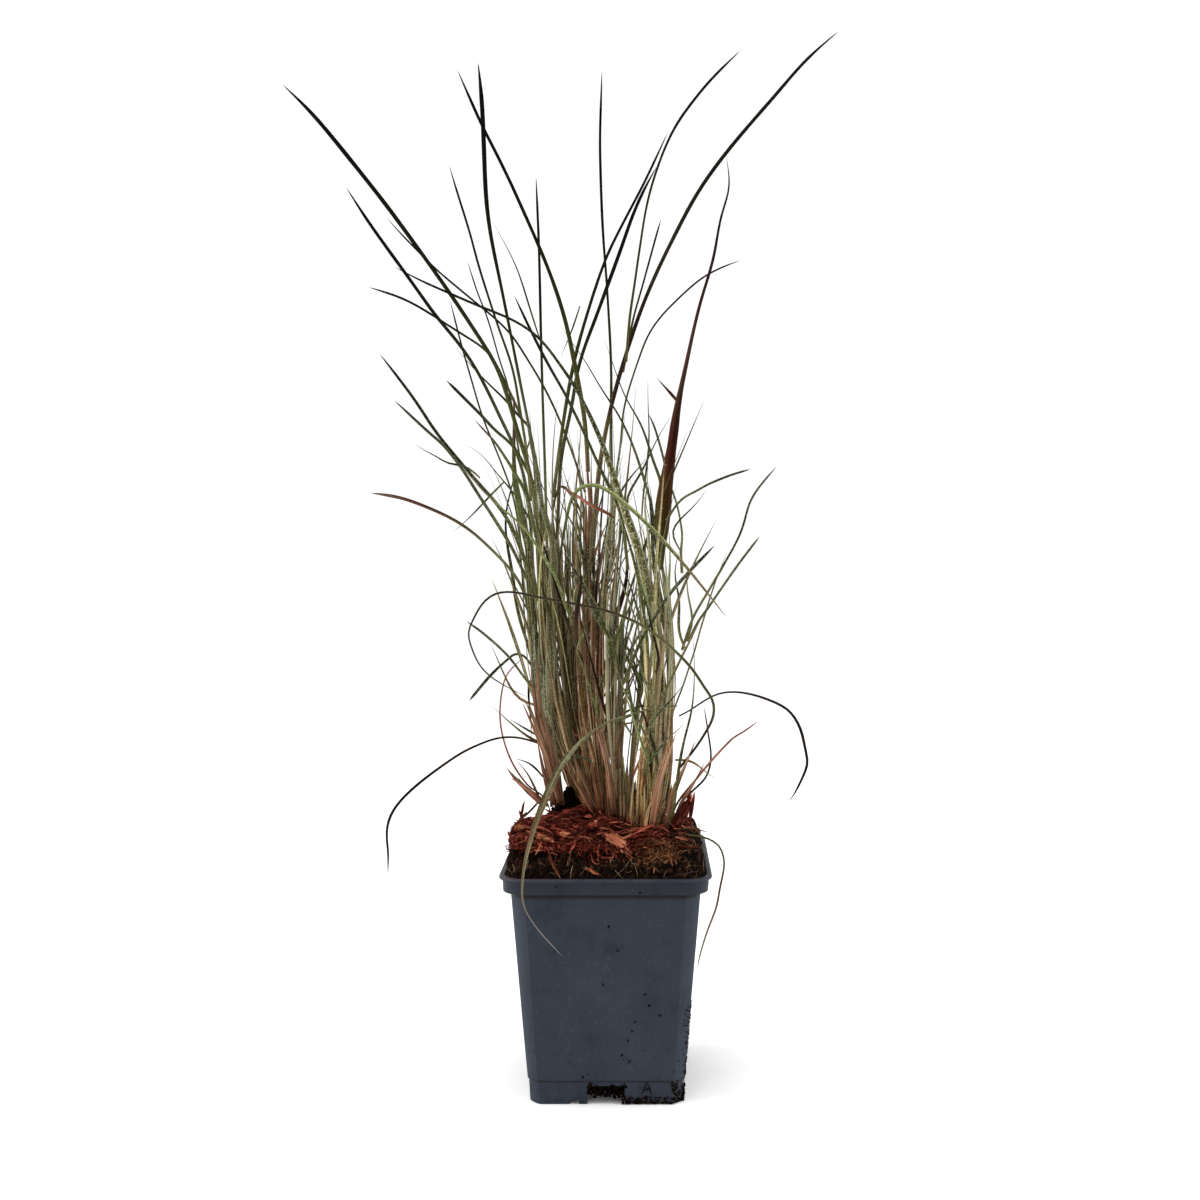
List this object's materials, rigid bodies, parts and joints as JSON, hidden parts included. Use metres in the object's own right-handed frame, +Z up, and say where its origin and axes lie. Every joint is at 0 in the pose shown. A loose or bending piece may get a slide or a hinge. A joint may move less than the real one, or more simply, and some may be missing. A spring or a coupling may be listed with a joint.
{
  "type": "potted little bluestem",
  "caption": "Clump of little bluestem grass with upright stems and long narrow arching blades in a small square moulded nursery pot of mulched peat.",
  "frame": {"origin": "centre of the pot's foot, on the surface it stands on", "axes": "+Z up, front of the plant towards -Y, +X to the viewer's right"},
  "size_m": [0.2338, 0.2, 0.5015],
  "materials": {
    "nursery_pot": "moulded recycled polypropylene, dark blue-grey, satin, lighter on edges, dusted with peat",
    "peat": null,
    "pine_bark": "splintered pine bark, red-brown to orange, dry and rough",
    "straw_sheath": null,
    "pale_sheath": null,
    "red_sheath": null,
    "green_blade": null,
    "light_green_blade": null,
    "pale_blade": null,
    "purple_blade": null,
    "dark_red_blade": null,
    "brick_blade": null
  },
  "bodies": {
    "root": {"pot": "nursery_pot", "root_ball": "peat", "stem_01": "straw_sheath", "stem_02": "straw_sheath", "stem_03": "straw_sheath", "stem_04": "straw_sheath", "stem_05": "red_sheath", "stem_06": "red_sheath", "stem_07": "pale_sheath", "stem_08": "pale_sheath", "stem_09": "straw_sheath", "stem_10": "pale_sheath", "stem_11": "straw_sheath", "stem_12": "red_sheath", "leaf_01": "green_blade", "leaf_02": "green_blade", "leaf_03": "green_blade", "leaf_04": "green_blade", "leaf_05": "green_blade", "leaf_06": "green_blade", "leaf_07": "green_blade", "leaf_08": "green_blade", "leaf_09": "green_blade", "leaf_10": "green_blade", "leaf_11": "green_blade", "leaf_12": "dark_red_blade", "leaf_13": "dark_red_blade", "leaf_14": "green_blade", "leaf_15": "green_blade", "leaf_16": "green_blade", "leaf_17": "pale_blade", "leaf_18": "green_blade", "leaf_19": "green_blade", "leaf_20": "green_blade", "leaf_21": "green_blade", "leaf_22": "purple_blade", "leaf_23": "purple_blade", "leaf_24": "purple_blade", "leaf_25": "green_blade", "leaf_26": "green_blade", "leaf_27": "green_blade", "leaf_28": "light_green_blade", "leaf_29": "brick_blade", "leaf_30": "purple_blade", "leaf_31": "green_blade", "leaf_32": "green_blade", "leaf_33": "brick_blade", "leaf_34": "green_blade", "leaf_35": "green_blade", "leaf_36": "brick_blade", "leaf_37": "green_blade", "leaf_38": "green_blade", "leaf_39": "green_blade", "leaf_40": "light_green_blade", "leaf_41": "green_blade", "bark_chip_01": "pine_bark", "bark_chip_02": "pine_bark", "bark_chip_03": "pine_bark", "bark_chip_04": "pine_bark", "bark_chip_05": "pine_bark"}
  },
  "joints": []
}
